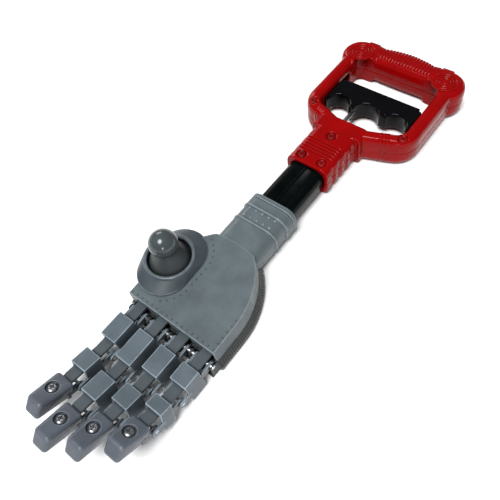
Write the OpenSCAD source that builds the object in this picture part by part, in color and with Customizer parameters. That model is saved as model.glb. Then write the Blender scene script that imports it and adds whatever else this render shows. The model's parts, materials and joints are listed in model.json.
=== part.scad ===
// Hand-operated reaching toy shaped like a robot arm: a framed grip with a
// finger trigger, an oval arm tube and a four-finger hand with a fixed thumb.
// Millimetres. +Z is the palm side, -Y the fingertips, the thumb is at -X.

/* [Arm line] */
// Offset of the arm's centre line from the middle of the grip frame
arm_x = -6.5; // [-8:0.1:0]
// Distance from the knuckle edge to the middle of the whole length
y_mid = 101.52; // [95:0.05:110]
// Height of the arm's centre line above the surface it rests on
arm_z = 13; // [12:0.5:15]

/* [Grip frame] */
// Thickness of the grip frame
grip_h = 26; // [22:0.5:30]
// Half width of the opening for the hand
opening_hx = 38.5; // [34:0.1:44]
// Width of the side bars
bar_w = 11.7; // [9:0.1:14]
// Front limit of the opening, behind the knuckle edge
opening_y0 = 211; // [208:0.5:213]
// Back limit of the opening
opening_y1 = 284.5; // [280:0.5:290]
// Outer edge of the back bar
back_y = 308.4; // [300:0.1:312]
// Rounding of the bars
bar_r = 5.5; // [3:0.1:5.8]
// Radius of the round ears at the back corners
ear_r = 16.5; // [14:0.1:18]
// Ear centre, across from the middle of the frame
ear_x = 39.2; // [38:0.1:41]
// Ear centre, behind the knuckle edge
ear_y = 288.5; // [285:0.1:292]
// Half width of the neck that holds the tube
neck_hx = 18.8; // [17:0.1:21]
// Front end of the neck
neck_y0 = 157.5; // [150:0.5:160]
// Pitch of the ridges on the back bar
ridge_pitch = 2.8; // [2:0.1:3]
// Depth of the waist at each end of the back bar
waist = 4.5; // [0:0.5:6]

/* [Trigger] */
// Travel of the trigger towards the back bar
trigger_travel = 14; // [10:0.5:18]
// Back edge of the trigger when released
trigger_y1 = 257; // [250:0.5:260]
// Sideways position of the pull rod, beside the middle screw
rod_x = -6.3; // [-8:0.1:-5]
// Radius of the pull rod
rod_r = 1.9; // [1.5:0.05:2.5]
// Gap all round the rod in its guides
rod_gap = 0.05; // [0.02:0.01:0.1]

/* [Arm tube] */
// Tube width
tube_w = 30.6; // [28:0.1:33]
// Tube height
tube_h = 19.5; // [18:0.1:21]
// Rounding of the tube's corners
tube_r = 7.5; // [5:0.1:9]
// Wall of the tube
tube_wall = 1.8; // [1.2:0.1:2.5]

/* [Wrist] */
// Collar width
collar_w = 39; // [36:0.1:42]
// Collar height
collar_h = 25; // [23:0.1:26]
// Rounding of the collar's corners
collar_r = 9; // [8:0.1:11]
// Front end of the wrist sleeve
wrist_y0 = 64; // [60:0.5:68]
// Back end of the wrist sleeve
wrist_y1 = 116; // [112:0.5:120]

/* [Palm] */
// Half width of the palm at the knuckles
palm_hx = 38.3; // [36:0.1:42]
// Length of the palm plate
palm_len = 72.2; // [68:0.1:76]
// Height of the palm plate at the knuckles
palm_z0 = 23.3; // [22:0.1:25]
// Rise of the palm plate per millimetre towards the wrist
palm_slope = 0.0375; // [0:0.0005:0.05]
// Height where the two palm shells meet
split_z = 11; // [9:0.5:13]
// Shell wall
wall = 2; // [1.6:0.1:3]

/* [Fingers] */
// Distance between finger centres
finger_pitch = 19.6; // [19:0.1:21]
// Width of a finger segment at its pins
seg_w = 15.4; // [15:0.1:16]
// How much narrower a segment is at its top plate
seg_taper = 2.4; // [0:0.1:3]
// How far the side walls of a segment reach below its pins
seg_skirt = 6.4; // [3:0.1:7]
// Wall of a finger segment
seg_wall = 1.6; // [1.2:0.1:2]
// Front end of each first segment, from the knuckle edge
prox_front = [32, 37.3, 32.8, 27.4]; // [24:0.1:42]
// Length of each middle segment
mid_len = [13.3, 16.7, 13.6, 9.5]; // [8:0.1:20]
// Space from each middle segment to its front pin
mid_gap = [5.2, 6.1, 5.3, 5.1]; // [5:0.1:8]
// Length of each fingertip
tip_len = [23.2, 23.6, 23.6, 20.5]; // [18:0.1:28]
// Upward curl at rest of each middle segment
mid_curl = [12, 12, 12, 14]; // [6:1:16]
// Further upward curl at rest of each fingertip
tip_curl = [12, 12, 12, 16]; // [6:1:18]
// Width of the straps
strap_w = 8; // [6:0.1:8]
// Thickness of the straps
strap_t = 2.3; // [1.2:0.1:2.4]

/* [Thumb] */
// Centre of the thumb, across from the arm's centre line
thumb_x = -28.3; // [-30:0.1:-27]
// Centre of the thumb, behind the knuckle edge
thumb_y = 35.5; // [33:0.1:38]
// Radius of the thumb's ball
ball_r = 10.2; // [9:0.1:12]
// Height of the ball's centre
ball_z = 47.5; // [44:0.1:50]

/* [Hidden] */
$fn = 64;
knuckle_y = -4.8;
knuckle_z = 12.2;
pip_z = 9;
knuckle_r = 1.5;
pin_r = 1.25;
lug_r = 3.1;
lug_top = 3.9;
seg_top = 12.5;
mid_top = 11.4;
tip_top = 9.8;
mid_back = 8.65;
tip_back = 7.4;
seg_hx = seg_w / 2;
lug_in0 = 4.2;
lug_in1 = 5.7;
lug_out0 = seg_hx - seg_wall;
strap_z = 15;
press_gap = 0.02;
turn_gap = 0.08;
web_t = 0.8;
bar_x = opening_hx + bar_w / 2;
corner_R = 14;
corner_turn = 70;
opening_r = 6;
ridge_hx = 9 * ridge_pitch;
tab_y0 = 240;
tab_len = 14;
tab_gap = 1.5;
thumb_half = 8.7;
rim_x = thumb_x - 1.2;
rim_y = thumb_y - 0.5;
rim_z = 30.5;
cone_z = 27;
cone_r = 14.9;
socket_r = 19.8;
seam_flare = 0.8;
flank_flare = 4;
big = 400;

function finger_x(i) = (i - 1.5) * finger_pitch + 1.9;
function first_back(i) = i == 0 ? 13.2 : 14;
function pip_y(i) = -(prox_front[i] + 6.1);
function dip_l(i) = mid_back + mid_len[i] + mid_gap[i];
function plate_z(y) = palm_z0 + palm_slope * y;

// ---------- frames ----------
module arm_frame() {
  translate([arm_x, -y_mid, 0]) children();
}

module grip_frame() {
  translate([0, -y_mid, 0]) children();
}

module first_frame(i) {
  arm_frame() translate([finger_x(i), 0, 0]) children();
}

module middle_frame(i) {
  first_frame(i) translate([0, pip_y(i), pip_z]) rotate([-mid_curl[i], 0, 0]) children();
}

module tip_frame(i) {
  middle_frame(i) translate([0, -dip_l(i), 0]) rotate([-tip_curl[i], 0, 0]) children();
}

// ---------- shared shapes ----------
module round_rect(w, h, r) {
  square([w - 2 * r, h], center = true);
  square([w, h - 2 * r], center = true);
  for (x = [-1, 1], y = [-1, 1]) translate([x * (w / 2 - r), y * (h / 2 - r)]) circle(r);
}

// rectangle whose corners are rounded in flat steps
module soft_rect(w, h, r) {
  turn = [[1, 1], [-1, 1], [-1, -1], [1, -1]];
  polygon([for (q = [0 : 3], a = [0 : 30 : 90])
    [turn[q][0] * (w / 2 - r), turn[q][1] * (h / 2 - r)] + r * [cos(a + 90 * q), sin(a + 90 * q)]]);
}

module soft_bar_y(y0, y1, w, h, r) {
  translate([0, y1, h / 2]) rotate([90, 0, 0]) linear_extrude(y1 - y0) soft_rect(w, h, r);
}

// prism along Y between y0 and y1 of a rounded rectangle centred on z
module bar_y(y0, y1, w, h, r, z) {
  translate([0, y1, z]) rotate([90, 0, 0]) linear_extrude(y1 - y0) round_rect(w, h, r);
}

module cyl_x(x0, x1, r) {
  translate([x0, 0, 0]) rotate([0, 90, 0]) cylinder(h = x1 - x0, r = r);
}

module pan_screw(head_r, head_h, shank_r, shank_l) {
  difference() {
    union() {
      cylinder(h = head_h * 0.45, r = head_r);
      translate([0, 0, head_h * 0.45]) cylinder(h = head_h * 0.55, r1 = head_r, r2 = head_r * 0.72);
      translate([0, 0, -shank_l]) cylinder(h = shank_l, r = shank_r);
    }
    for (a = [0, 90]) rotate([0, 0, a + 20])
      translate([-head_r * 0.6, -head_r * 0.13, head_h * 0.35])
        cube([head_r * 1.2, head_r * 0.26, head_h]);
  }
}

// ---------- grip frame ----------
module side_bar(s) {
  translate([s * bar_x, 0, 0])
    soft_bar_y(opening_y0 + 16, ear_y - 8, bar_w + 0.06, grip_h, bar_r);
}

// front corner and slanting front bar of one side, with three thin ribs round it
module front_bar(s) {
  mirror([s < 0 ? 1 : 0, 0, 0]) translate([bar_x - corner_R, opening_y0 + 17, 0])
    rotate([0, 0, -corner_turn]) {
      translate([0, 0, grip_h / 2]) rotate_extrude(angle = corner_turn)
        translate([corner_R, 0]) soft_rect(bar_w, grip_h, bar_r);
      translate([corner_R, 0, 0]) {
        soft_bar_y(-34, 0, bar_w, grip_h, bar_r);
        for (k = [0 : 2]) translate([0, -5.2 - 2.6 * k, 0])
          soft_bar_y(0, 1.2, bar_w + 0.8, grip_h + 0.4, bar_r + 0.4);
      }
    }
}

module neck_solid() {
  translate([arm_x, 0, 0]) {
    soft_bar_y(neck_y0, opening_y0 - 5, neck_hx * 2, grip_h, 6.5);
    soft_bar_y(opening_y0 - 13.7, opening_y0, neck_hx * 2 + 7, grip_h, 5);
  }
}

module back_bar() {
  w = back_y - opening_y1;
  translate([-ear_x, opening_y1 + w / 2, grip_h / 2]) rotate([90, 0, 90])
    linear_extrude(2 * ear_x) soft_rect(w, grip_h, 8);
}

module ear(s) {
  r = 5.5;
  translate([s * ear_x, ear_y, 0]) rotate_extrude() intersection() {
    translate([0, grip_h / 2]) soft_rect(2 * ear_r, grip_h, r);
    square([ear_r, grip_h]);
  }
}

module grip_solid() {
  for (s = [-1, 1]) {
    side_bar(s);
    front_bar(s);
    difference() {
      ear(s);
      // the opening's back corner
      mirror([s < 0 ? 1 : 0, 0, 0]) translate([0, opening_y0, -1]) {
        cube([opening_hx, opening_y1 - opening_y0 - opening_r, grip_h + 2]);
        cube([opening_hx - opening_r, opening_y1 - opening_y0, grip_h + 2]);
        translate([opening_hx - opening_r, opening_y1 - opening_y0 - opening_r, 0])
          cylinder(h = grip_h + 2, r = opening_r);
      }
    }
  }
  back_bar();
  neck_solid();
}

module screw_spots() {
  translate([arm_x, 191, 0]) children();
  for (s = [-1, 1]) {
    translate([arm_x + s * 9.1, 164.2, 0]) children();
    translate([s * 41.2, 217.2, 0]) children();
  }
}

module grip_cuts() {
  // tube socket, rod passage and bush seat
  translate([arm_x, 0, 0]) {
    bar_y(neck_y0 - 1, 184.2, tube_w + 0.1, tube_h + 0.1, tube_r, arm_z);
    translate([rod_x, 214, arm_z]) rotate([90, 0, 0]) cylinder(h = 32, r = rod_r + 0.5);
    translate([rod_x, 213, arm_z]) rotate([90, 0, 0]) cylinder(h = 8, r = 3.62);
    // grooves across the neck and waves down its sides
    for (k = [0 : 4]) translate([-neck_hx + 3, 170 + 3.1 * k, grip_h + 0.35])
      rotate([0, 90, 0]) cylinder(h = 2 * neck_hx - 6, r = 0.9);
    for (k = [0 : 3], s = [-1, 1]) translate([s * (neck_hx + 2.3), 166 + 8.8 * k, -1])
      cylinder(h = grip_h + 2, r = 3.7);
  }
  // slots that guide the trigger's end tabs
  for (s = [-1, 1]) translate([s * (opening_hx + 2.6) - 2.75, tab_y0 - tab_gap, arm_z - 4.4])
    cube([5.5, tab_len + trigger_travel + 2 * tab_gap, 8.8]);
  // screw wells and holes, ear cap recesses
  screw_spots() {
    translate([0, 0, grip_h - 1.6]) cylinder(h = 3, r = 4.1);
    translate([0, 0, grip_h - 4.2]) cylinder(h = 3, r = 1.3);
  }
  for (s = [-1, 1]) translate([s * ear_x, ear_y, grip_h - 0.9]) cylinder(h = 3, r = 11.2);
  // grooves over the outer side of the back bar, and a waist at each of its ends
  for (x = [-ridge_hx : ridge_pitch : ridge_hx])
    translate([x - 0.6, back_y - 0.7, 4]) cube([1.2, 3, grip_h - 8]);
  for (s = [-1, 1]) translate([s * (ridge_hx - 3), back_y + 10 - waist, -1])
    cylinder(h = grip_h + 2, r = 10);
}

module handle_upper() {
  color([0.72, 0.03, 0.04]) grip_frame() difference() {
    grip_solid();
    grip_cuts();
    translate([-big / 2, 100, arm_z - 50]) cube([big, big, 50]);
  }
}

module handle_lower() {
  color([0.70, 0.03, 0.04]) grip_frame() difference() {
    grip_solid();
    grip_cuts();
    translate([-big / 2, 100, arm_z]) cube([big, big, 50]);
  }
}

module handle_screws() {
  color([0.35, 0.05, 0.05]) grip_frame() screw_spots()
    translate([0, 0, grip_h - 1.6]) pan_screw(3.1, 1.3, 1.28, 1.5);
}

module ear_caps() {
  color([0.74, 0.03, 0.05]) grip_frame() for (s = [-1, 1])
    translate([s * ear_x, ear_y, grip_h - 0.9]) difference() {
      cylinder(h = 1.1, r = 11.15);
      for (r = [3.2, 5.8, 8.4]) translate([0, 0, 0.75]) difference() {
        cylinder(h = 1, r = r + 0.5);
        translate([0, 0, -1]) cylinder(h = 3, r = r - 0.5);
      }
    }
}

// ---------- trigger, rod and spring ----------
module trigger() {
  z0 = arm_z - 7.5;
  color([0.03, 0.03, 0.04]) arm_frame() difference() {
    union() {
      translate([-arm_x - opening_hx + 0.8, 229.5, z0])
        cube([2 * opening_hx - 1.6, trigger_y1 - 229.5, 15]);
      translate([-arm_x - opening_hx - 4.4, tab_y0, arm_z - 4])
        cube([2 * opening_hx + 8.8, tab_len, 8]);
    }
    // finger scallops in the front edge
    translate([-19.3, 229.5, z0 - 1]) cylinder(h = 20, r = 10.6);
    translate([6.2, 229.8, z0 - 1]) cylinder(h = 20, r = 11.8);
    translate([31.3, 231, z0 - 1]) cylinder(h = 20, r = 11);
    translate([15, 225, z0 - 1]) cube([8, 11.4, 20]);
    // stepped back corners
    for (s = [-1, 1]) translate([-arm_x + s * opening_hx - 3.5, trigger_y1 - 2.6, z0 - 1])
      cube([7, 5, 20]);
    translate([rod_x, 246, arm_z]) rotate([90, 0, 0]) cylinder(h = 20, r = rod_r);
  }
}

module pull_rod() {
  color([0.75, 0.75, 0.76]) arm_frame() translate([rod_x, 246, arm_z])
    rotate([90, 0, 0]) cylinder(h = 231, r = rod_r);
}

module rod_bush() {
  color([0.08, 0.08, 0.08]) arm_frame() translate([rod_x, 211.2, arm_z]) rotate([90, 0, 0])
    difference() {
      cylinder(h = 6.1, r = 3.6);
      translate([0, 0, -1]) cylinder(h = 9, r = rod_r + rod_gap);
    }
}

module rod_collar() {
  color([0.7, 0.7, 0.7]) arm_frame() translate([rod_x, 148, arm_z]) rotate([90, 0, 0])
    difference() {
      cylinder(h = 5, r = 5);
      translate([0, 0, -1]) cylinder(h = 7, r = rod_r);
    }
}

// coil wound from a crescent, which is how a round wire is cut across the coil
module return_spring() {
  turns = 9;
  coil_r = 3.9;
  wire_r = 0.6;
  color([0.6, 0.6, 0.62]) arm_frame() translate([rod_x, 175.3, arm_z]) rotate([90, 0, 0])
    linear_extrude(height = 26.6, twist = -360 * turns, slices = 16 * turns, $fn = 6)
      polygon([for (s = [1, -1], t = [-1 : 0.4 : 1])
        (coil_r + s * wire_r * sqrt(1.02 - t * t)) * [cos(62 * s * t), sin(62 * s * t)]]);
}

module tube_plug() {
  color([0.1, 0.1, 0.1]) arm_frame() difference() {
    bar_y(176, 184, tube_w - 2 * tube_wall - 0.1, tube_h - 2 * tube_wall - 0.1, tube_r - tube_wall, arm_z);
    translate([rod_x, 185, arm_z]) rotate([90, 0, 0]) cylinder(h = 10, r = rod_r + rod_gap);
  }
}

module arm_tube() {
  color([0.03, 0.04, 0.04]) arm_frame() difference() {
    bar_y(98, 184, tube_w, tube_h, tube_r, arm_z);
    bar_y(97, 185, tube_w - 2 * tube_wall, tube_h - 2 * tube_wall, tube_r - tube_wall, arm_z);
    // lengthwise grooves in both broad faces
    for (x = [-9, -1.3, 1.3, 9], s = [-1, 1])
      translate([x - 0.35, 97, arm_z + s * tube_h / 2 - 0.4]) cube([0.7, 88, 0.8]);
  }
}

// ---------- wrist ----------
module wrist_solid() {
  difference() {
    union() {
      bar_y(wrist_y0, wrist_y1, collar_w - 1.2, collar_h - 1.2, collar_r - 0.6, arm_z);
      bar_y(91.2, 92.6, collar_w, collar_h, collar_r, arm_z);
      bar_y(103.4, wrist_y1, collar_w, collar_h, collar_r, arm_z);
      bar_y(104, 105.2, collar_w + 0.8, collar_h + 0.8, collar_r + 0.4, arm_z);
    }
    difference() {
      bar_y(111.4, 112.5, collar_w + 4, collar_h + 4, collar_r, arm_z);
      bar_y(111, 113, collar_w - 1.4, collar_h - 1.4, collar_r - 0.7, arm_z);
    }
    bar_y(98, wrist_y1 + 1, tube_w + 0.1, tube_h + 0.1, tube_r, arm_z);
    bar_y(wrist_y0 - 1, 99, 27, 16, 6, arm_z);
  }
}

module wrist_upper() {
  color([0.44, 0.47, 0.49]) arm_frame() difference() {
    wrist_solid();
    translate([-big / 2, 0, arm_z - 50]) cube([big, big, 50]);
  }
}

module wrist_lower() {
  color([0.42, 0.45, 0.47]) arm_frame() difference() {
    wrist_solid();
    translate([-big / 2, 0, arm_z]) cube([big, big, 50]);
  }
}

module collar_rivets() {
  color([0.5, 0.53, 0.55]) arm_frame()
    for (x = [-2 : 2], y = [95, 102], s = [0, 1])
      translate([x * 5.68, y, arm_z]) mirror([0, 0, s]) translate([0, 0, collar_h / 2 - 0.6])
        cylinder(h = 0.8, r1 = 1.15, r2 = 0.55);
}

// ---------- palm ----------
// the hand's outline between two heights, inset by e0 below and e1 above: straight at
// the knuckles, then arcs to the wrist
module hand_block(z0, h, e0, e1, front) {
  side_r = 66;
  rear_r = 86;
  straight = 22;
  translate([0, straight, z0]) rotate([90, 0, 0]) linear_extrude(straight - front)
    polygon([[e0 - palm_hx, 0], [palm_hx - e0, 0], [palm_hx - e1, h], [e1 - palm_hx, h]]);
  intersection() {
    side_arc(side_r, straight, z0, h, e0, e1, 1);
    side_arc(side_r, straight, z0, h, e0, e1, -1);
    translate([0, palm_len - rear_r, z0]) cylinder(h = h, r1 = rear_r - e0, r2 = rear_r - e1);
    translate([-60, straight, z0]) cube([120, 80, h]);
  }
}

module side_arc(r, y, z0, h, e0, e1, s) {
  translate([s * (palm_hx - r), y, z0]) cylinder(h = h, r1 = r - e0, r2 = r - e1);
}

// space under the sloping plate, lowered by d
module under_plate(d) {
  rotate([atan(palm_slope), 0, 0]) translate([-100, -60, palm_z0 - 60 - d]) cube([200, 200, 60]);
}

module wrist_hole() {
  bar_y(58, 80, collar_w - 1.0, collar_h - 1.0, collar_r - 0.5, arm_z);
}

module finger_slots() {
  for (i = [0 : 3]) translate([finger_x(i) - 5.6, -12, 6.6]) cube([11.2, 16, 11.9]);
}

module palm_shell() {
  color([0.46, 0.49, 0.51]) arm_frame() difference() {
    intersection() {
      hand_block(split_z, 20, -seam_flare, 0.6, 0);
      under_plate(0);
    }
    intersection() {
      hand_block(split_z - 1, 22, wall, wall + 0.6, wall);
      under_plate(wall);
    }
    finger_slots();
    wrist_hole();
  }
}

// upright plate of thickness t at x, from y0 back to the knuckle edge, with a boss round the axle
module bearing_web(x, t, y0, boss_r) {
  translate([x, y0, 1]) cube([t, -y0 - 0.1, knuckle_z - 1]);
  translate([x, knuckle_y, knuckle_z]) cyl_x(0, t, boss_r);
}

// plates on the lower shell that carry the knuckle axle
module bearing_webs() {
  for (x = [finger_x(0) - seg_hx - 0.1 - web_t, finger_x(3) + seg_hx + 0.1]) bearing_web(x, web_t, -7, 2.3);
  for (i = [0 : 2]) bearing_web(finger_x(i) + finger_pitch / 2 - web_t, 2 * web_t, -7.5, 2.8);
}

module hand_back_shell() {
  color([0.30, 0.32, 0.33]) arm_frame() difference() {
    union() {
      difference() {
        union() {
          hand_block(0, 2.4, -1.8, -flank_flare, -1);
          hand_block(2.4, 2.6, -flank_flare, -flank_flare, -1);
          hand_block(5, split_z - 5, -flank_flare, -seam_flare, -1);
        }
        hand_block(wall, 20, 1.2, 1.2, 1);
        translate([-60, -2, split_z - 0.01]) cube([120, 4, 5]);
      }
      translate([finger_x(0) - seg_hx - 0.1 - web_t, -8, 0])
        cube([finger_x(3) - finger_x(0) + seg_w + 0.2 + 2 * web_t, 9, wall]);
      bearing_webs();
    }
    finger_slots();
    wrist_hole();
    translate([0, knuckle_y, knuckle_z]) cyl_x(-60, 60, knuckle_r + press_gap);
  }
}

module rivet(x, y) {
  translate([x, y, plate_z(y) - 0.15]) cylinder(h = 0.5, r1 = 0.8, r2 = 0.4);
}

module palm_rivets() {
  r = 23.3;
  color([0.38, 0.41, 0.43]) arm_frame() {
    for (k = [0 : 16]) rivet(-36.2 + k * 4.55, 2.3);
    for (k = [0 : 4]) rivet(36.4, 7 + k * 4.7);
    for (a = [-56 : 12 : -8]) rivet(thumb_x + r * cos(a), thumb_y - thumb_half + r * sin(a));
    for (k = [0 : 3]) rivet(thumb_x + r, thumb_y - 6.4 + k * 4.9);
    for (a = [12 : 12 : 60]) rivet(thumb_x + r * cos(a), thumb_y + thumb_half + r * sin(a));
  }
}

// ---------- thumb ----------
module thumb_plan(r) {
  for (s = [-1, 1]) translate([0, s * thumb_half]) circle(r);
  square([2 * r, 2 * thumb_half], center = true);
}

module thumb_socket() {
  rim_r = 18.4;
  color([0.43, 0.46, 0.48]) arm_frame() difference() {
    union() {
      translate([thumb_x, thumb_y, split_z + 1]) linear_extrude(13.4) thumb_plan(socket_r);
      hull() {
        for (s = [-1, 1]) translate([thumb_x, thumb_y + s * thumb_half, split_z + 14.3])
          cylinder(h = 0.2, r = socket_r, $fn = 48);
        translate([rim_x, rim_y, rim_z]) cylinder(h = 0.2, r = rim_r + 0.6, $fn = 48);
      }
      translate([rim_x, rim_y, rim_z]) rotate_extrude()
        translate([rim_r - 1.2, 0]) circle(1.5);
    }
    // seat on the palm shell, and the bowl
    intersection() {
      hand_block(split_z, 20, -seam_flare, 0.6, 0);
      under_plate(0);
    }
    translate([rim_x, rim_y, cone_z]) cylinder(h = 10, r = cone_r + 0.9);
  }
}

module thumb_cone() {
  color([0.30, 0.33, 0.34]) arm_frame() translate([rim_x, rim_y, cone_z]) {
    cylinder(h = 1.5, r = cone_r);
    translate([0, 0, 1.5]) cylinder(h = ball_z - cone_z - 6.5, r1 = cone_r, r2 = 8.6);
  }
}

module thumb_ball() {
  color([0.46, 0.49, 0.50]) arm_frame() difference() {
    translate([rim_x, rim_y, ball_z]) sphere(ball_r, $fn = 48);
    translate([thumb_x - 20, thumb_y - 20, ball_z - 25]) cube([40, 40, 20]);
  }
}

// ---------- knuckle axle and tendon ----------
module knuckle_axle() {
  color([0.75, 0.75, 0.77]) arm_frame() translate([0, knuckle_y, knuckle_z])
    cyl_x(finger_x(0) - seg_hx - 1.1, finger_x(3) + seg_hx + 1.1, knuckle_r);
}

module tendon_yoke() {
  color([0.2, 0.2, 0.2]) arm_frame() difference() {
    translate([-31, 13, arm_z - 3.5]) cube([65.8, 5.5, strap_z - arm_z + 3.5]);
    translate([rod_x, 20, arm_z]) rotate([90, 0, 0]) cylinder(h = 5, r = rod_r);
  }
}

module palm_straps() {
  color([0.42, 0.44, 0.46]) arm_frame() for (i = [0 : 3])
    translate([finger_x(i) - 3.5, 6.6, strap_z]) cube([7, 11.9, strap_t]);
}

// ---------- finger segments ----------
// half width of a segment at a height above its pins, for a top plate at that height
function half_at(z, top) = seg_hx - seg_taper / 2 * z / top;

// one side of the channel section, from the bottom edge to the top plate, inset by e
function channel_side(top, e) =
  [[half_at(-seg_skirt, top) - e, -seg_skirt], [half_at(top, top) - e, top - e]];

// channel: a top plate and two splayed side walls, open below
module channel(y0, y1, top) {
  outer = channel_side(top, 0);
  inner = channel_side(top, seg_wall);
  translate([0, y1, 0]) rotate([90, 0, 0]) linear_extrude(y1 - y0) difference() {
    polygon([outer[0], outer[1], [-outer[1][0], outer[1][1]], [-outer[0][0], outer[0][1]]]);
    polygon([inner[0] - [0, 1], inner[1], [-inner[1][0], inner[1][1]], [-inner[0][0], inner[0][1] - 1]]);
  }
}

// outer lugs reaching forward from y0 to the pin at y = 0
module outer_lugs(y0) {
  for (s = [0, 1]) mirror([s, 0, 0]) {
    translate([lug_out0, 0, -lug_r]) cube([seg_wall, y0 + 2, 2 * lug_r]);
    cyl_x(lug_out0, seg_hx, lug_r);
  }
}

// inner lugs reaching back from -y0 to the pin at y = 0
module inner_lugs(y0, reach) {
  for (s = [0, 1]) mirror([s, 0, 0]) {
    translate([lug_in0, -y0 - 1, -lug_r]) cube([lug_in1 - lug_in0, y0 + 1, lug_r + lug_top]);
    translate([lug_in0, -y0 - reach, -lug_r]) cube([seg_hx - lug_in0 - 0.6, reach, lug_r + 2]);
    cyl_x(lug_in0, lug_in1, lug_r);
  }
}

module first_segment(i) {
  pf = prox_front[i];
  pb = first_back(i);
  color([0.47, 0.50, 0.52]) first_frame(i) difference() {
    union() {
      translate([0, 0, pip_z]) channel(-pf, -pb, seg_top);
      translate([0, pip_y(i), pip_z]) outer_lugs(6.1);
      for (s = [0, 1]) mirror([s, 0, 0]) {
        translate([5, -pb - 4, knuckle_z - 3]) cube([seg_hx - 5.9, 4.5, 6]);
        translate([5, -pb, knuckle_z - 3]) cube([1.8, pb + knuckle_y, 6]);
        translate([0, knuckle_y, knuckle_z]) cyl_x(5, 6.8, 3);
      }
    }
    translate([0, knuckle_y, knuckle_z]) cyl_x(-8, 8, knuckle_r + turn_gap);
    translate([0, pip_y(i), pip_z]) cyl_x(-9, 9, pin_r + press_gap);
  }
}

module middle_segment(i) {
  color([0.47, 0.50, 0.52]) middle_frame(i) difference() {
    union() {
      channel(-mid_back - mid_len[i], -mid_back, mid_top);
      inner_lugs(mid_back, 3.5);
      translate([0, -dip_l(i), 0]) outer_lugs(mid_gap[i]);
    }
    cyl_x(-9, 9, pin_r + turn_gap);
    translate([0, -dip_l(i), 0]) cyl_x(-9, 9, pin_r + press_gap);
  }
}

module fingertip(i) {
  l = tip_len[i];
  r = 2.5;
  color([0.27, 0.30, 0.32]) tip_frame(i) difference() {
    union() {
      hull() for (s = [-1, 1]) {
        translate([s * (seg_hx - 0.2 - r), -tip_back - 0.9, tip_top - r]) sphere(r, $fn = 24);
        translate([s * (seg_hx - 0.2 - r), -tip_back - 0.9, -3.2 + 1]) sphere(1, $fn = 16);
        translate([s * (6.4 - r), -tip_back - l + r, tip_top - 0.6 - r]) sphere(r, $fn = 24);
        translate([s * (6.2 - r), -tip_back - l - 2.6 + r, -3.2 + r]) sphere(r, $fn = 24);
      }
      inner_lugs(tip_back + 0.6, 3);
    }
    cyl_x(-9, 9, pin_r + turn_gap);
    // strap slot, screw well and screw hole
    translate([-4.3, -tip_back - 6.5, 4.3]) cube([8.6, 12, strap_t + 0.5]);
    translate([0, -tip_back - 9, tip_top - 1.9]) cylinder(h = 4, r = 4.4);
    translate([0, -tip_back - 9, 0]) cylinder(h = tip_top, r = 1.3);
    translate([-lug_in0, -tip_back - 1.6, -5]) cube([2 * lug_in0, 12, 9.2]);
  }
}

module first_strap(i) {
  pb = first_back(i);
  color([0.42, 0.44, 0.46]) first_frame(i)
    translate([-strap_w / 2, -pb - 5, strap_z]) cube([strap_w, pb + 8, strap_t]);
}

module middle_strap(i) {
  color([0.42, 0.44, 0.46]) middle_frame(i)
    translate([-strap_w / 2, -mid_back - 4, 6.2]) cube([strap_w, mid_back + 12, strap_t]);
}

module tip_strap(i) {
  color([0.42, 0.44, 0.46]) tip_frame(i)
    translate([-strap_w / 2, -tip_back - 6.3, 4.55]) cube([strap_w, tip_back + 13.3, strap_t]);
}

module middle_pin(i) {
  color([0.7, 0.7, 0.72]) first_frame(i) translate([0, pip_y(i), pip_z])
    cyl_x(-seg_hx + 0.2, seg_hx - 0.2, pin_r);
}

module tip_pin(i) {
  color([0.7, 0.7, 0.72]) middle_frame(i) translate([0, -dip_l(i), 0])
    cyl_x(-seg_hx + 0.2, seg_hx - 0.2, pin_r);
}

module tip_screw(i) {
  color([0.68, 0.69, 0.70]) tip_frame(i) translate([0, -tip_back - 9, tip_top - 1.9])
    pan_screw(3.2, 1.5, 1.28, 5);
}

handle_upper();
handle_lower();
handle_screws();
ear_caps();
trigger();
pull_rod();
rod_bush();
rod_collar();
return_spring();
tube_plug();
arm_tube();
wrist_upper();
wrist_lower();
collar_rivets();
palm_shell();
hand_back_shell();
palm_rivets();
thumb_socket();
thumb_cone();
thumb_ball();
knuckle_axle();
tendon_yoke();
palm_straps();
first_segment(0);  // index_first
middle_segment(0);  // index_middle
fingertip(0);  // index_tip
first_strap(0);  // index_strap_first
middle_strap(0);  // index_strap_middle
tip_strap(0);  // index_strap_tip
middle_pin(0);  // index_middle_pin
tip_pin(0);  // index_tip_pin
tip_screw(0);  // index_tip_screw
first_segment(1);  // long_first
middle_segment(1);  // long_middle
fingertip(1);  // long_tip
first_strap(1);  // long_strap_first
middle_strap(1);  // long_strap_middle
tip_strap(1);  // long_strap_tip
middle_pin(1);  // long_middle_pin
tip_pin(1);  // long_tip_pin
tip_screw(1);  // long_tip_screw
first_segment(2);  // ring_first
middle_segment(2);  // ring_middle
fingertip(2);  // ring_tip
first_strap(2);  // ring_strap_first
middle_strap(2);  // ring_strap_middle
tip_strap(2);  // ring_strap_tip
middle_pin(2);  // ring_middle_pin
tip_pin(2);  // ring_tip_pin
tip_screw(2);  // ring_tip_screw
first_segment(3);  // little_first
middle_segment(3);  // little_middle
fingertip(3);  // little_tip
first_strap(3);  // little_strap_first
middle_strap(3);  // little_strap_middle
tip_strap(3);  // little_strap_tip
middle_pin(3);  // little_middle_pin
tip_pin(3);  // little_tip_pin
tip_screw(3);  // little_tip_screw
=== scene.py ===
"""Looks for the reaching toy: softened mouldings, bending straps, materials, light and camera, in metres."""

import json
import math

import bpy
import numpy as np
from mathutils import Matrix, Vector


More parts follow.
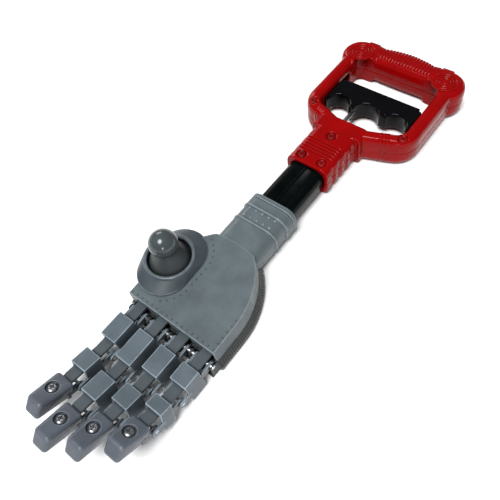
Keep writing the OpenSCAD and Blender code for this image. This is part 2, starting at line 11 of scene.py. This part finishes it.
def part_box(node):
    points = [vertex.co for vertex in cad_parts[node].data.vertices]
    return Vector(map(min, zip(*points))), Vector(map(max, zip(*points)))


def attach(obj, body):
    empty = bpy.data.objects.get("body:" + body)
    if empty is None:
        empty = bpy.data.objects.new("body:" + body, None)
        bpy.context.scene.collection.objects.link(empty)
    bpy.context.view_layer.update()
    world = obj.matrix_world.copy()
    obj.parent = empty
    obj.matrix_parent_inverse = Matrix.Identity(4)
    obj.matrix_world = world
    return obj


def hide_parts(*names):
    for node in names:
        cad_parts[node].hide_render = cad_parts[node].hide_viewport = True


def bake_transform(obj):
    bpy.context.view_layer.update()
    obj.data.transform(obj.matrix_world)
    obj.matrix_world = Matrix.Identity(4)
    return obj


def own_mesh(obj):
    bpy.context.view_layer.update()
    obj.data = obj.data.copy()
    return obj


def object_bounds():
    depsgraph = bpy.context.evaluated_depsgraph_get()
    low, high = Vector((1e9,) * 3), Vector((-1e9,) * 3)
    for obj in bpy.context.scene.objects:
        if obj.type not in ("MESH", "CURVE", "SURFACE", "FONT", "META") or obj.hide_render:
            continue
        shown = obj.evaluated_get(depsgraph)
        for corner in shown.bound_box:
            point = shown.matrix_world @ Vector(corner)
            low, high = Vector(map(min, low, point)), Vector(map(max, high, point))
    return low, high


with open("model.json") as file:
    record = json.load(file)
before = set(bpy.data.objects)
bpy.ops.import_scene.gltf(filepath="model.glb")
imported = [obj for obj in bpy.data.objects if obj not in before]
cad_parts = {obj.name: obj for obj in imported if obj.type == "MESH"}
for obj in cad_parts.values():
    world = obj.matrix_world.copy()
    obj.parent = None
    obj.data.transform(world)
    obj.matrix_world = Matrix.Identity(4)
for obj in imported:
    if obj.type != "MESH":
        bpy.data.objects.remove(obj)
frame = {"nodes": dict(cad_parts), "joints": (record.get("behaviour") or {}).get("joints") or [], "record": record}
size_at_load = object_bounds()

MM = 0.001
FINGERS = ("index", "long", "ring", "little")
record = frame["record"]
SLOTS = {s["node"]: s["material_slot"] for s in record["subparts"]}
BODY = {n: b for b, nodes in record["behaviour"]["bodies"].items() for n in nodes}
PIVOT = {j["name"]: Vector(j["pos_m"]) for j in frame["joints"] if "pos_m" in j}


# ---------- materials ----------
class Shader:
    """A Principled material whose colour, roughness and relief come from noise in the part's own frame."""

    def __init__(self, name):
        self.material = bpy.data.materials.new(name)
        self.material.use_nodes = True
        self.tree = self.material.node_tree
        self.tree.nodes.clear()
        out = self.add("ShaderNodeOutputMaterial")
        self.bsdf = self.add("ShaderNodeBsdfPrincipled")
        self.join(self.bsdf.outputs["BSDF"], out.inputs["Surface"])
        self.place = self.add("ShaderNodeTexCoord").outputs["Object"]

    def add(self, kind):
        return self.tree.nodes.new(kind)

    def join(self, source, target):
        self.tree.links.new(source, target)

    def set(self, **amounts):
        """Sets plain inputs of the surface; a space in an input's name is written as an underscore."""
        for key, amount in amounts.items():
            self.bsdf.inputs[key.replace("_", " ")].default_value = amount

    def noise(self, scale, detail, stretch=(1, 1, 1), spin=0.0):
        mapping = self.add("ShaderNodeMapping")
        mapping.inputs["Scale"].default_value = stretch
        mapping.inputs["Rotation"].default_value = (0, 0, spin)
        self.join(self.place, mapping.inputs["Vector"])
        texture = self.add("ShaderNodeTexNoise")
        texture.inputs["Scale"].default_value = scale
        texture.inputs["Detail"].default_value = detail
        self.join(mapping.outputs["Vector"], texture.inputs["Vector"])
        return texture.outputs["Fac"]

    def remap(self, value, low, high, to_low, to_high):
        node = self.add("ShaderNodeMapRange")
        for key, amount in (("From Min", low), ("From Max", high), ("To Min", to_low), ("To Max", to_high)):
            node.inputs[key].default_value = amount
        self.join(value, node.inputs["Value"])
        return node.outputs["Result"]

    def mix(self, factor, first, second):
        """Blends two colours, each a socket or a plain colour."""
        node = self.add("ShaderNodeMix")
        node.data_type = "RGBA"
        for key, kind, value in (("Factor", "VALUE", factor), ("A", "RGBA", first), ("B", "RGBA", second)):
            socket = next(s for s in node.inputs if s.name == key and s.type == kind)
            if isinstance(value, bpy.types.NodeSocket):
                self.join(value, socket)
            else:
                socket.default_value = value
        return next(s for s in node.outputs if s.type == "RGBA")

    def product(self, first, second):
        node = self.add("ShaderNodeMath")
        node.operation = "MULTIPLY"
        self.join(first, node.inputs[0])
        self.join(second, node.inputs[1])
        return node.outputs[0]

    def bump(self, height, distance, strength=1.0, normal=None):
        node = self.add("ShaderNodeBump")
        node.inputs["Strength"].default_value = strength
        node.inputs["Distance"].default_value = distance
        self.join(height, node.inputs["Height"])
        if normal:
            self.join(normal, node.inputs["Normal"])
        return node.outputs["Normal"]


GRAIN_DEPTH = 0.02 * MM
SCRATCH_DEPTH = 0.03 * MM
SCRATCH_TURNS = (0.6, 1.5, -0.5)
SCRATCH_STRETCH = (0.12, 5.0, 0.12)
# How far the painted shade in crevices reaches.
PAINTED_SHADE_REACH = 7 * MM
DRAW_LINE_DEPTH = 0.01 * MM


def moulded_plastic(name, colour, roughness, coat=0.0, variation=0.12, scratches=0.0, shine=0.4,
                    wear_and_highlight=1.0, painted_shade_depth=0.6):
    """Moulded plastic: cloudy colour and sheen, fine grain, rims lightened partly as wear and partly as painted
    highlight, painted shade in hollows and crevices, scratches if asked.
    """
    shader = Shader(name)
    dark = tuple(c * (1 - variation) for c in colour) + (1,)
    light = tuple(min(1, c * (1 + variation)) for c in colour) + (1,)
    # Colour of the lightened rims: partly wear, partly a painted highlight.
    worn_and_highlit = tuple(min(1, c * (1 + 1.1 * wear_and_highlight) + 0.03 * wear_and_highlight) for c in colour) + (1,)
    # Colour of the painted shade in hollows and crevices.
    painted_shade = tuple(c * (1 - painted_shade_depth) for c in colour) + (1,)

    bend = shader.add("ShaderNodeAttribute")
    bend.attribute_name = "bend"
    convex = shader.remap(bend.outputs["Fac"], 0.25, 1.0, 0, 0.9)
    hollow = shader.remap(bend.outputs["Fac"], -0.2, -1.0, 0, 0.8)
    occlusion_shade = shader.add("ShaderNodeAmbientOcclusion")
    occlusion_shade.samples = 4
    occlusion_shade.inputs["Distance"].default_value = PAINTED_SHADE_REACH

    base = shader.mix(shader.remap(shader.noise(70, 4), 0.35, 0.65, 0, 1), dark, light)
    patchy = shader.remap(shader.noise(260, 5), 0.3, 0.55, 0.45, 1)
    # Convex rims lightened, partly as wear and partly as a painted highlight.
    base = shader.mix(shader.product(convex, patchy), base, worn_and_highlit)
    # Hollows darkened: painted shade.
    base = shader.mix(hollow, base, painted_shade)
    # Darker where ambient occlusion finds other surfaces close by, the floor too: painted shade.
    base = shader.mix(shader.remap(occlusion_shade.outputs["AO"], 0.15, 0.75, 1, 0), base, painted_shade)
    shader.join(base, shader.bsdf.inputs["Base Color"])

    sheen = shader.remap(shader.noise(150, 6), 0.3, 0.7, roughness * 0.8, roughness * 1.25)
    shader.join(sheen, shader.bsdf.inputs["Roughness"])
    shader.set(Specular_IOR_Level=shine, Coat_Weight=coat, Coat_Roughness=0.12)

    normal = shader.bump(shader.noise(1500, 3), GRAIN_DEPTH, 0.6)
    if scratches:
        for turn in SCRATCH_TURNS:
            line = shader.remap(shader.noise(60, 2, SCRATCH_STRETCH, turn), 0.60, 0.62, 0, 1)
            normal = shader.bump(line, SCRATCH_DEPTH, scratches, normal)
    shader.join(normal, shader.bsdf.inputs["Normal"])
    return shader.material


def drawn_steel(name, colour, roughness, along=(1, 1, 1)):
    """Bright steel with draw lines and small dull spots."""
    shader = Shader(name)
    shader.set(Metallic=1.0)
    streak = shader.noise(400, 5, along)
    dull = tuple(c * 0.6 for c in colour) + (1,)
    base = shader.mix(shader.remap(streak, 0.3, 0.6, 0, 1), dull, colour + (1,))
    shader.join(base, shader.bsdf.inputs["Base Color"])
    sheen = shader.remap(streak, 0, 1, roughness * 0.6, roughness * 1.5)
    shader.join(sheen, shader.bsdf.inputs["Roughness"])
    shader.join(shader.bump(streak, DRAW_LINE_DEPTH), shader.bsdf.inputs["Normal"])
    return shader.material


PLASTICS = {
    "grip_plastic": dict(colour=(0.25, 0.0010, 0.0013), roughness=0.18, variation=0.08, shine=0.13,
                         wear_and_highlight=0.05, painted_shade_depth=0.5),
    "trigger_plastic": dict(colour=(0.002, 0.002, 0.003), roughness=0.10, coat=0.04, variation=0.25,
                            shine=0.12, wear_and_highlight=0.03),
    "tube_plastic": dict(colour=(0.0012, 0.0022, 0.0024), roughness=0.22, variation=0.3, shine=0.08,
                         wear_and_highlight=0.03),
    "hand_plastic": dict(colour=(0.092, 0.116, 0.128), roughness=0.40, coat=0.08, scratches=0.6, shine=0.3,
                         wear_and_highlight=0.9),
    # Darker than the upper hand shell, as painted shade on the flank and in the knuckle gap.
    "back_plastic": dict(colour=(0.032, 0.034, 0.035), roughness=0.42, shine=0.25, wear_and_highlight=0.6),
    "socket_plastic": dict(colour=(0.052, 0.066, 0.076), roughness=0.36, coat=0.1, shine=0.3, wear_and_highlight=1.4),
    "finger_plastic": dict(colour=(0.095, 0.120, 0.140), roughness=0.34, coat=0.1, scratches=0.25, shine=0.3,
                           wear_and_highlight=1.5, painted_shade_depth=0.75),
    "tip_plastic": dict(colour=(0.080, 0.092, 0.113), roughness=0.34, coat=0.1, shine=0.3, wear_and_highlight=0.6),
    # Darker than the finger shells they match, as painted shade for the gaps they lie in.
    "strap_plastic": dict(colour=(0.070, 0.085, 0.096), roughness=0.42, variation=0.08, shine=0.2),
    "rivet_dark": dict(colour=(0.030, 0.037, 0.041), roughness=0.38, wear_and_highlight=0.4),
    "cone_plastic": dict(colour=(0.040, 0.048, 0.050), roughness=0.42, shine=0.25),
    "ball_plastic": dict(colour=(0.048, 0.060, 0.064), roughness=0.22, coat=0.3, shine=0.3),
    "dark_screw": dict(colour=(0.20, 0.002, 0.002), roughness=0.40, variation=0.3, shine=0.15, wear_and_highlight=0.05),
}
STEELS = {
    "rod_steel": dict(colour=(0.78, 0.78, 0.80), roughness=0.36, along=(1, 0.05, 1)),
    "screw_steel": dict(colour=(0.34, 0.35, 0.37), roughness=0.38),
}
MATERIALS = {slot: moulded_plastic(slot, **look) for slot, look in PLASTICS.items()}
MATERIALS.update({slot: drawn_steel(slot, **look) for slot, look in STEELS.items()})


def paint(obj, node):
    """Gives obj the material of the CAD node's slot."""
    obj.data.materials.clear()
    obj.data.materials.append(MATERIALS[SLOTS[node]])


# ---------- mesh helpers ----------
WELD = 0.002 * MM


def linked(name, mesh):
    obj = bpy.data.objects.new(name, mesh)
    bpy.context.scene.collection.objects.link(obj)
    return obj


def built(name, vertices, faces):
    """A new object from points and faces."""
    mesh = bpy.data.meshes.new(name)
    mesh.from_pydata([tuple(v) for v in vertices], [], faces)
    mesh.update()
    return linked(name, mesh)


def shade_smooth(mesh):
    mesh.polygons.foreach_set("use_smooth", [True] * len(mesh.polygons))


def apply_modifiers(obj):
    bpy.context.view_layer.update()
    mesh = bpy.data.meshes.new_from_object(obj.evaluated_get(bpy.context.evaluated_depsgraph_get()))
    obj.modifiers.clear()
    obj.data = mesh
    return mesh


def points_and_normals(mesh):
    points = np.empty(len(mesh.vertices) * 3, np.float32)
    normals = np.empty(len(mesh.vertices) * 3, np.float32)
    mesh.vertices.foreach_get("co", points)
    mesh.vertex_normals.foreach_get("vector", normals)
    return points.reshape(-1, 3), normals.reshape(-1, 3)


def smoothstep(low, high, value):
    t = np.clip((value - low) / (high - low), 0, 1)
    return t * t * (3 - 2 * t)


def ring_faces(rings, sides):
    """Faces of a closed tube whose points come ring by ring, with a flat face at each end."""
    faces = []
    for k in range(rings - 1):
        here, ahead = k * sides, (k + 1) * sides
        for j in range(sides):
            beside = (j + 1) % sides
            faces.append((here + j, here + beside, ahead + beside, ahead + j))
    last = (rings - 1) * sides
    return faces + [tuple(range(sides))[::-1], tuple(range(last, last + sides))]


# ---------- softened mouldings ----------
SHARP_BEND = 260.0  # per metre: the bend that counts as a full rim
KEPT_TRIANGLES = 0.4


def mark_bends(mesh):
    """Stores how convex (to 1) or hollow (to -1) the surface is at each vertex, for rims lightened as wear and
    painted highlight and for hollows darkened as painted shade.
    """
    count = len(mesh.vertices)
    points, normals = points_and_normals(mesh)
    ends = np.empty(len(mesh.edges) * 2, np.int32)
    mesh.edges.foreach_get("vertices", ends)
    a, b = ends.reshape(-1, 2).T
    step = points[b] - points[a]
    squared = (step**2).sum(1) + 1e-14
    near = np.bincount(a, minlength=count) + np.bincount(b, minlength=count)
    bend = np.bincount(a, -(step * normals[a]).sum(1) / squared, count)
    bend += np.bincount(b, (step * normals[b]).sum(1) / squared, count)
    bend /= near
    for _ in range(2):
        bend = (bend + (np.bincount(a, bend[b], count) + np.bincount(b, bend[a], count)) / near) / 2
    stored = mesh.attributes.new("bend", "FLOAT", "POINT")
    stored.data.foreach_set("value", np.clip(bend / SHARP_BEND, -1, 1))


def softened(node, grid, rounds, relief=None):
    """Replaces a CAD node by a copy with its edges rounded as a mould leaves them, and any relief added."""
    obj = linked(f"{node}_soft", frame["nodes"][node].data.copy())
    obj.modifiers.new("weld", "WELD").merge_threshold = WELD
    remesh = obj.modifiers.new("remesh", "REMESH")
    remesh.mode = "VOXEL"
    remesh.voxel_size = grid * MM
    smooth = obj.modifiers.new("smooth", "SMOOTH")
    smooth.factor = 0.5
    smooth.iterations = rounds
    mesh = apply_modifiers(obj)
    if relief:
        points, normals = points_and_normals(mesh)
        points = relief(points.astype(float), normals.astype(float))
        mesh.vertices.foreach_set("co", points.astype(np.float32).ravel())
        mesh.update()
    mark_bends(mesh)
    obj.modifiers.new("thin", "DECIMATE").ratio = KEPT_TRIANGLES
    shade_smooth(apply_modifiers(obj))
    paint(obj, node)
    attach(obj, BODY[node])
    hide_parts(node)


grip_low, grip_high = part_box("handle_upper")
tube_low, tube_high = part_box("arm_tube")
BACK_BAR = grip_high.y - 24 * MM
BACK_BAR_HALF = 30 * MM
SWELL = 2.4 * MM
WAIST = 1.6 * MM
RIDGE_PITCH = 2.8 * MM
RIDGE_DEPTH = 0.5 * MM
RIDGED_HALF = 24 * MM
NECK_MIDDLE = (tube_low.x + tube_high.x) / 2
NECK_GROOVES = [grip_low.y + 12.5 * MM + k * 3.1 * MM for k in range(5)]
GROOVE_HALF = 14 * MM
GROOVE_WIDTH = 0.55 * MM
GROOVE_DEPTH = 0.3 * MM
TOP_FACE = grip_high.z - 1.5 * MM


def grip_relief(points, normals):
    """A back bar with a swell, a waist at each end and ridges round it, and grooves across the neck."""
    x, y, z = points.T
    middle = 1 - smoothstep(0, BACK_BAR_HALF, abs(x))
    behind = smoothstep(BACK_BAR - 4 * MM, BACK_BAR + 6 * MM, y)
    rim = smoothstep(BACK_BAR - 2 * MM, grip_high.y, y)
    y = y + behind * ((rim - 0.35) * SWELL * middle - WAIST * rim * (1 - middle) * (abs(x) < BACK_BAR_HALF))
    y = np.minimum(y, grip_high.y)
    ridge = 0.5 + 0.5 * np.cos(2 * math.pi * x / RIDGE_PITCH)
    ridged = smoothstep(BACK_BAR + 3 * MM, BACK_BAR + 6 * MM, y)
    ridged *= 1 - smoothstep(RIDGED_HALF, RIDGED_HALF + 2 * MM, abs(x))
    depth = -RIDGE_DEPTH * ridge * ridged
    on_neck = (1 - smoothstep(GROOVE_HALF, GROOVE_HALF + 1 * MM, abs(x - NECK_MIDDLE))) * (z > TOP_FACE)
    for groove_y in NECK_GROOVES:
        depth -= GROOVE_DEPTH * np.exp(-(((y - groove_y) / GROOVE_WIDTH) ** 2)) * on_neck
    return np.stack((x, y, z), 1) + normals * depth[:, None]


hand_low, hand_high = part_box("hand_back_shell")
FLANK_CENTRE_X = (hand_low.x + hand_high.x) / 2
FLANK_CENTRE_Y = hand_low.y + 30 * MM
FLANK_PITCH = 1.8 * MM
FLANK_DEPTH = 0.35 * MM


def flank_relief(points, normals):
    """Fine upright ridges round the lower half of the hand, where its wall faces sideways."""
    x, y, z = points.T
    out_x, out_y = x - FLANK_CENTRE_X, y - FLANK_CENTRE_Y
    turn = np.arctan2(out_y, out_x)
    wave = 0.5 + 0.5 * np.cos(turn * (hand_high.x - FLANK_CENTRE_X) / FLANK_PITCH * 2 * math.pi)
    outward = (out_x * normals[:, 0] + out_y * normals[:, 1]) > 0
    band = smoothstep(2.2 * MM, 3 * MM, z) * (1 - smoothstep(8.5 * MM, 9.5 * MM, z))
    behind_knuckles = y > hand_low.y + 9 * MM
    depth = -FLANK_DEPTH * wave * band * behind_knuckles * outward * (abs(normals[:, 2]) < 0.7)
    return points + normals * depth[:, None]


softened("handle_upper", 0.42, 9, grip_relief)
softened("handle_lower", 0.42, 9, grip_relief)
softened("trigger", 0.42, 16)
softened("palm_shell", 0.34, 3)
softened("hand_back_shell", 0.32, 3, flank_relief)
softened("wrist_upper", 0.32, 3)
softened("wrist_lower", 0.32, 3)
softened("thumb_socket", 0.4, 5)
softened("thumb_cone", 0.4, 3)
softened("thumb_ball", 0.4, 6)
softened("collar_rivets", 0.14, 3)
softened("palm_rivets", 0.12, 2)
softened("ear_caps", 0.22, 2)
for finger in FINGERS:
    softened(f"{finger}_first", 0.26, 6)
    softened(f"{finger}_middle", 0.26, 6)
    softened(f"{finger}_tip", 0.28, 5)


# ---------- straps that bend at each joint ----------
STRAP_WIDTH = 8 * MM
STRAP_THICK = 2.3 * MM
STRAP_BEVEL = 0.35 * MM
STRAP_STEPS = 28


def line_of(node):
    """Centre and forward direction of a straight strap length."""
    points = np.array([v.co for v in frame["nodes"][node].data.vertices], float)
    centre = (points.min(0) + points.max(0)) / 2
    forward = np.linalg.svd(points - centre, full_matrices=False)[2][0]
    return Vector(centre), Vector(forward if forward[1] < 0 else -forward)


def along(line, pivot, distance):
    """The point on a strap's line that is this far forward of a joint."""
    centre, forward = line
    return centre + forward * ((pivot - centre).dot(forward) + distance)


def strap_section():
    """Eight corners of a strap's section, across and up, with bevelled edges."""
    half_w, half_t = STRAP_WIDTH / 2, STRAP_THICK / 2
    corners = ((1, 1, (0, 1)), (1, -1, (1, 0)), (-1, -1, (0, 1)), (-1, 1, (1, 0)))
    return [(side * (half_w - (1 - e) * STRAP_BEVEL), face * (half_t - e * STRAP_BEVEL))
            for side, face, order in corners for e in order]


def curve_between(start, start_way, end, end_way, t):
    """Point and direction at share t of the smooth curve that leaves start along start_way and meets end."""
    pull = (end - start).length
    terms = (start, start_way * pull, end, end_way * pull)
    place = (2 * t**3 - 3 * t**2 + 1, t**3 - 2 * t**2 + t, 3 * t**2 - 2 * t**3, t**3 - t**2)
    slope = (6 * t**2 - 6 * t, 3 * t**2 - 4 * t + 1, 6 * t - 6 * t**2, 3 * t**2 - 2 * t)
    point = sum((v * w for v, w in zip(terms, place)), Vector())
    way = sum((v * w for v, w in zip(terms, slope)), Vector()).normalized()
    return point, way


def strap(node, parent_line, pivot, before, after):
    """One strap length that bends round a joint, from before it to after it."""
    child_line = line_of(node)
    start, end = along(parent_line, pivot, -before), along(child_line, pivot, after)
    side = Vector((1, 0, 0))
    section = strap_section()
    vertices = []
    for k in range(STRAP_STEPS + 1):
        point, way = curve_between(start, parent_line[1], end, child_line[1], k / STRAP_STEPS)
        up = way.cross(side)
        up = up if up.z > 0 else -up
        vertices += [point + side * across + up * lift for across, lift in section]
    obj = built(f"{node}_bending", vertices, ring_faces(STRAP_STEPS + 1, len(section)))
    paint(obj, node)
    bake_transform(obj)
    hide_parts(node)


for finger in FINGERS:
    low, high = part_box(f"{finger}_strap_first")
    palm_line = (Vector(((low.x + high.x) / 2, high.y, (low.z + high.z) / 2)), Vector((0, -1, 0)))
    first_line, middle_line = line_of(f"{finger}_strap_first"), line_of(f"{finger}_strap_middle")
    strap(f"{finger}_strap_first", palm_line, PIVOT[f"{finger}_knuckle"], 7 * MM, 12 * MM)
    strap(f"{finger}_strap_middle", first_line, PIVOT[f"{finger}_middle"], 10 * MM, 13 * MM)
    strap(f"{finger}_strap_tip", middle_line, PIVOT[f"{finger}_tip"], 9 * MM, 11 * MM)


# ---------- return spring, which the collar presses against the plug ----------
SPRING_TURNS = 9
SPRING_WIRE = 0.55 * MM


def wound_wire(node, turns, wire, steps=28, sides=8):
    """A round wire wound along Y through the node's box, with both ends closed."""
    low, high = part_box(node)
    middle = (low + high) / 2
    radius = (high.x - low.x) / 2 - wire
    rise = (high.y - low.y - 2 * wire) / (turns * steps)
    vertices = []
    for k in range(turns * steps + 1):
        turn = 2 * math.pi * k / steps
        out = Vector((math.cos(turn), 0, math.sin(turn)))
        centre = Vector((middle.x, low.y + wire + rise * k, middle.z)) + out * radius
        for j in range(sides):
            angle = 2 * math.pi * j / sides
            vertices.append(centre + out * wire * math.cos(angle) + Vector((0, wire * math.sin(angle), 0)))
    obj = built(f"{node}_wound", vertices, ring_faces(turns * steps + 1, sides))
    shade_smooth(obj.data)
    paint(obj, node)
    return obj


spring = wound_wire("return_spring", SPRING_TURNS, SPRING_WIRE)
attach(spring, "arm")
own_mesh(spring)
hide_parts("return_spring")


# ---------- CAD nodes that are shown as they are ----------
for node, obj in frame["nodes"].items():
    if obj.hide_render:
        continue
    paint(obj, node)
    obj.modifiers.new("weld", "WELD").merge_threshold = WELD
    bevel = obj.modifiers.new("edge", "BEVEL")
    bevel.width = 0.12 * MM
    bevel.segments = 2
    bevel.limit_method = "ANGLE"
    bevel.angle_limit = math.radians(40)
    bevel.harden_normals = True
    shade_smooth(obj.data)


# ---------- floor and light ----------
def floor(size, colour):
    """A square floor just under the object."""
    s = size / 2
    obj = built("floor", [(-s, -s, 0), (s, -s, 0), (s, s, 0), (-s, s, 0)], [(0, 1, 2, 3)])
    obj.location.z = size_at_load[0].z - 0.1 * MM
    material = bpy.data.materials.new("floor")
    material.use_nodes = True
    bsdf = material.node_tree.nodes["Principled BSDF"]
    bsdf.inputs["Base Color"].default_value = (*colour, 1)
    bsdf.inputs["Roughness"].default_value = 0.9
    bsdf.inputs["Specular IOR Level"].default_value = 0.1
    obj.data.materials.append(material)


def aimed_light(name, kind, position):
    """A light at position that shines towards the middle of the object."""
    data = bpy.data.lights.new(name, kind)
    obj = linked(name, data)
    obj.location = position
    obj.rotation_euler = Vector(position).to_track_quat("Z", "Y").to_euler()
    return data


def studio_sun(name, position, strength, spread):
    """Even light from one side of the studio, as soft as a large diffuser."""
    data = aimed_light(name, "SUN", position)
    data.energy = strength
    data.angle = math.radians(spread)


def soft_lamp(name, position, size, watts):
    """A rectangular lamp; size is its two sides."""
    data = aimed_light(name, "AREA", position)
    data.shape = "RECTANGLE"
    data.size, data.size_y = size
    data.energy = watts


def studio_air(strength):
    world = bpy.data.worlds.new("studio")
    world.use_nodes = True
    world.node_tree.nodes["Background"].inputs["Color"].default_value = (1, 1, 1, 1)
    world.node_tree.nodes["Background"].inputs["Strength"].default_value = strength
    bpy.context.scene.world = world
    bpy.context.scene.view_settings.view_transform = "Standard"


floor(60, (0.96, 0.96, 0.96))
studio_sun("key", (0.1, -0.9, 2.4), 3.7, 28)
soft_lamp("low", (0.95, -1.1, 0.5), (0.25, 0.25), 4.0)
soft_lamp("fill", (-1.9, 1.0, 1.3), (1.0, 0.8), 14)
studio_air(0.16)


# ---------- camera ----------
AZIMUTH, ELEVATION, ROLL = (math.radians(a) for a in (48.66, 56.97, -12.59))
CAMERA_AT = Vector((153.95, -162.04, 336.6)) * MM

camera_data = bpy.data.cameras.new("camera")
camera_data.lens = 38.46
camera_data.sensor_width = 36
camera_data.shift_x, camera_data.shift_y = 0.0056, -0.0044
camera_data.clip_start, camera_data.clip_end = 0.01, 200
flat = math.cos(ELEVATION)
back = Vector((math.sin(AZIMUTH) * flat, -math.cos(AZIMUTH) * flat, math.sin(ELEVATION)))
level = Vector((math.cos(AZIMUTH), math.sin(AZIMUTH), 0))
upright = back.cross(level)
right = level * math.cos(ROLL) + upright * math.sin(ROLL)
up = -level * math.sin(ROLL) + upright * math.cos(ROLL)
camera = linked("camera", camera_data)
camera.matrix_world = Matrix.Translation(CAMERA_AT) @ Matrix((right, up, back)).transposed().to_4x4()
bpy.context.scene.camera = camera
